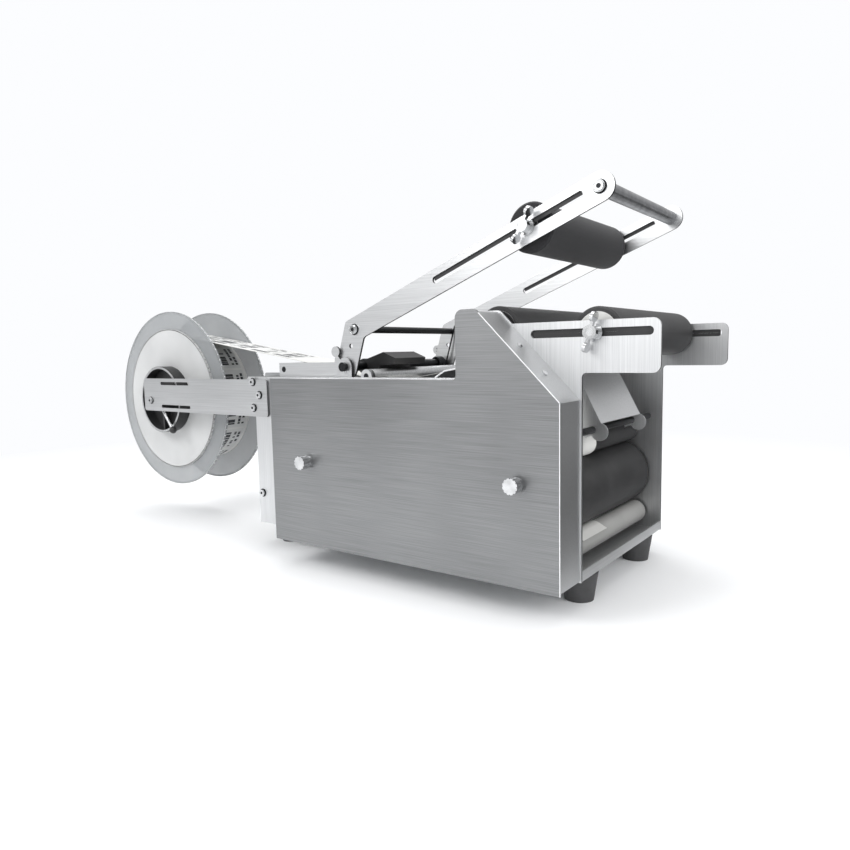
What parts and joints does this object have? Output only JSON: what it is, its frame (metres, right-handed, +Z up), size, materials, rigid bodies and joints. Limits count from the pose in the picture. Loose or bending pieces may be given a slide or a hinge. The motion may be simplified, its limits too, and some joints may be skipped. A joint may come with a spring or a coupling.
{
  "type": "bottle labelling machine",
  "caption": "Table-top labelling machine for round bottles: a steel cabinet with a driven roller bed, a slotted pressure arm and a label reel on rear brackets.",
  "frame": {"origin": "on the table, under the middle of the machine's box", "axes": "+X forward, away from the reel; +Y from the drive cover to the control box; +Z up"},
  "size_m": [0.983, 0.3996, 0.4466],
  "materials": {
    "brushed_stainless": "horizontal brushed grain",
    "painted_case": "satin powder coat",
    "panel_black": "matt overlay",
    "zinc_fasteners": "bright plated",
    "bright_shaft": "ground bar",
    "dark_steel": "blackened",
    "alu_roller": "turned",
    "bronze_bush": "turned",
    "black_rubber": "matt",
    "black_sponge": "fine open cells",
    "clear_disc": "translucent grey",
    "white_plastic": "satin",
    "black_plastic": "moulded satin",
    "red_plastic": "gloss",
    "green_plastic": "gloss",
    "label_paper": "coated paper",
    "motor_paint": "dark enamel"
  },
  "bodies": {
    "frame": {"near_frame_plate": "brushed_stainless", "far_frame_plate": "brushed_stainless", "floor_plate": "brushed_stainless", "rear_panel": "brushed_stainless", "deck_plate": "brushed_stainless", "drive_cover": "brushed_stainless", "drive_housing": "brushed_stainless", "cover_knobs": "zinc_fasteners", "frame_screws": "zinc_fasteners", "feet": "black_rubber", "near_reel_bracket": "brushed_stainless", "far_reel_bracket": "brushed_stainless", "reel_shaft": "bright_shaft", "pivot_brackets": "brushed_stainless", "pivot_shaft": "dark_steel", "drive_bushes": "bronze_bush", "drive_belts": "black_rubber", "gear_motor": "motor_paint", "cross_shafts": "bright_shaft", "liner_web": "label_paper", "peel_plate": "brushed_stainless", "web_brake": "black_plastic", "guide_chute": "brushed_stainless", "control_box": "painted_case", "control_panel": "panel_black", "switch_frame": "black_plastic", "power_inlet": "black_plastic"},
    "press_arms": {"near_press_arm": "brushed_stainless", "far_press_arm": "brushed_stainless", "elbow_tube": "dark_steel", "handle_rod": "bright_shaft", "arm_bolts": "zinc_fasteners", "return_spring": "dark_steel"},
    "press_carriage": {"press_roller_shaft": "bright_shaft", "press_wing_nuts": "zinc_fasteners"},
    "press_roller": {"press_roller": "black_sponge"},
    "front_carriage": {"front_roller_shaft": "bright_shaft", "front_wing_nuts": "zinc_fasteners"},
    "front_roller": {"front_roller": "black_rubber"},
    "rear_roller": {"rear_roller": "black_rubber", "rear_roller_core": "bright_shaft", "rear_roller_pulley": "alu_roller"},
    "traction_roller": {"traction_roller": "black_rubber", "traction_core": "bright_shaft", "traction_pulley": "alu_roller"},
    "motor_shaft": {"motor_pulley": "alu_roller"},
    "pinch_roller": {"pinch_roller": "alu_roller"},
    "idler_roller": {"idler_roller": "alu_roller"},
    "front_guide": {"front_guide_roller": "alu_roller"},
    "rear_guide": {"rear_guide_roller": "alu_roller"},
    "reel": {"reel_hub": "black_plastic", "outer_disc": "clear_disc", "inner_disc": "clear_disc", "flange_disc": "white_plastic", "label_roll": "label_paper"},
    "clamp_lever": {"clamp_lever": "dark_steel"},
    "start_button": {"start_button": "green_plastic"},
    "stop_button": {"stop_button": "red_plastic"},
    "speed_dial": {"speed_dial": "black_plastic"},
    "power_rocker": {"power_rocker": "red_plastic"}
  },
  "joints": [
    {"name": "press_arm_pivot", "type": "hinge", "parent": "frame", "child": "press_arms", "pos_m": [0.0825, -0.00625, 0.257], "axis": [0, 1, 0], "range_deg": [0, 9], "stiffness_Nm_per_rad": 6, "springref_deg": -60.16},
    {"name": "press_roller_slide", "type": "slide", "parent": "press_arms", "child": "press_carriage", "axis": [0.9326, 0, 0.361], "range_m": [-0.11, 0.05]},
    {"name": "press_roller_spin", "type": "hinge", "parent": "press_carriage", "child": "press_roller", "pos_m": [0.34558, -0.00625, 0.40308], "axis": [0, 1, 0], "continuous": true},
    {"name": "front_roller_slide", "type": "slide", "parent": "frame", "child": "front_carriage", "axis": [1, 0, 0], "range_m": [-0.048, 0.052]},
    {"name": "front_roller_spin", "type": "hinge", "parent": "front_carriage", "child": "front_roller", "pos_m": [0.4255, -0.00625, 0.29], "axis": [0, 1, 0], "continuous": true},
    {"name": "traction_roller_spin", "type": "hinge", "parent": "frame", "child": "traction_roller", "pos_m": [0.3555, -0.00625, 0.108], "axis": [0, 1, 0], "continuous": true},
    {"name": "rear_roller_spin", "type": "hinge", "parent": "frame", "child": "rear_roller", "pos_m": [0.3125, -0.00625, 0.296], "axis": [0, 1, 0], "continuous": true},
    {"name": "motor_spin", "type": "hinge", "parent": "frame", "child": "motor_shaft", "pos_m": [0.2225, -0.13175, 0.132], "axis": [0, 1, 0], "continuous": true},
    {"name": "pinch_roller_spin", "type": "hinge", "parent": "frame", "child": "pinch_roller", "pos_m": [0.3675, -0.00625, 0.16403], "axis": [0, 1, 0], "continuous": true},
    {"name": "idler_roller_spin", "type": "hinge", "parent": "frame", "child": "idler_roller", "pos_m": [0.3795, -0.00625, 0.05542], "axis": [0, 1, 0], "continuous": true},
    {"name": "front_guide_spin", "type": "hinge", "parent": "frame", "child": "front_guide", "pos_m": [0.1225, -0.00625, 0.245], "axis": [0, 1, 0], "continuous": true},
    {"name": "rear_guide_spin", "type": "hinge", "parent": "frame", "child": "rear_guide", "pos_m": [-0.0325, -0.00625, 0.254], "axis": [0, 1, 0], "continuous": true},
    {"name": "reel_spin", "type": "hinge", "parent": "frame", "child": "reel", "pos_m": [-0.3455, -0.09775, 0.204], "axis": [0, 1, 0], "continuous": true},
    {"name": "clamp_lever_turn", "type": "hinge", "parent": "frame", "child": "clamp_lever", "pos_m": [-0.3455, -0.12875, 0.204], "axis": [0, 1, 0], "range_deg": [-60, 60]},
    {"name": "start_button_press", "type": "slide", "parent": "frame", "child": "start_button", "axis": [0, -1, 0], "range_m": [0, 0.002], "stiffness_N_per_m": 500, "springref_m": -0.001},
    {"name": "stop_button_press", "type": "slide", "parent": "frame", "child": "stop_button", "axis": [0, -1, 0], "range_m": [0, 0.002], "stiffness_N_per_m": 500, "springref_m": -0.001},
    {"name": "speed_dial_turn", "type": "hinge", "parent": "frame", "child": "speed_dial", "pos_m": [0.2925, 0.18425, 0.162], "axis": [0, 1, 0], "range_deg": [-150, 150]},
    {"name": "power_rocker_tip", "type": "hinge", "parent": "frame", "child": "power_rocker", "pos_m": [0.0165, 0.15325, 0.092], "axis": [0, 1, 0], "range_deg": [0, 16]}
  ],
  "couplings": [
    {"joint": "rear_roller_spin", "follows": "traction_roller_spin", "ratio": 1.6154},
    {"joint": "motor_spin", "follows": "traction_roller_spin", "ratio": 1.5},
    {"joint": "pinch_roller_spin", "follows": "traction_roller_spin", "ratio": -3},
    {"joint": "idler_roller_spin", "follows": "traction_roller_spin", "ratio": -2.8966},
    {"joint": "front_guide_spin", "follows": "traction_roller_spin", "ratio": 4.6667},
    {"joint": "rear_guide_spin", "follows": "traction_roller_spin", "ratio": -4.6667}
  ]
}
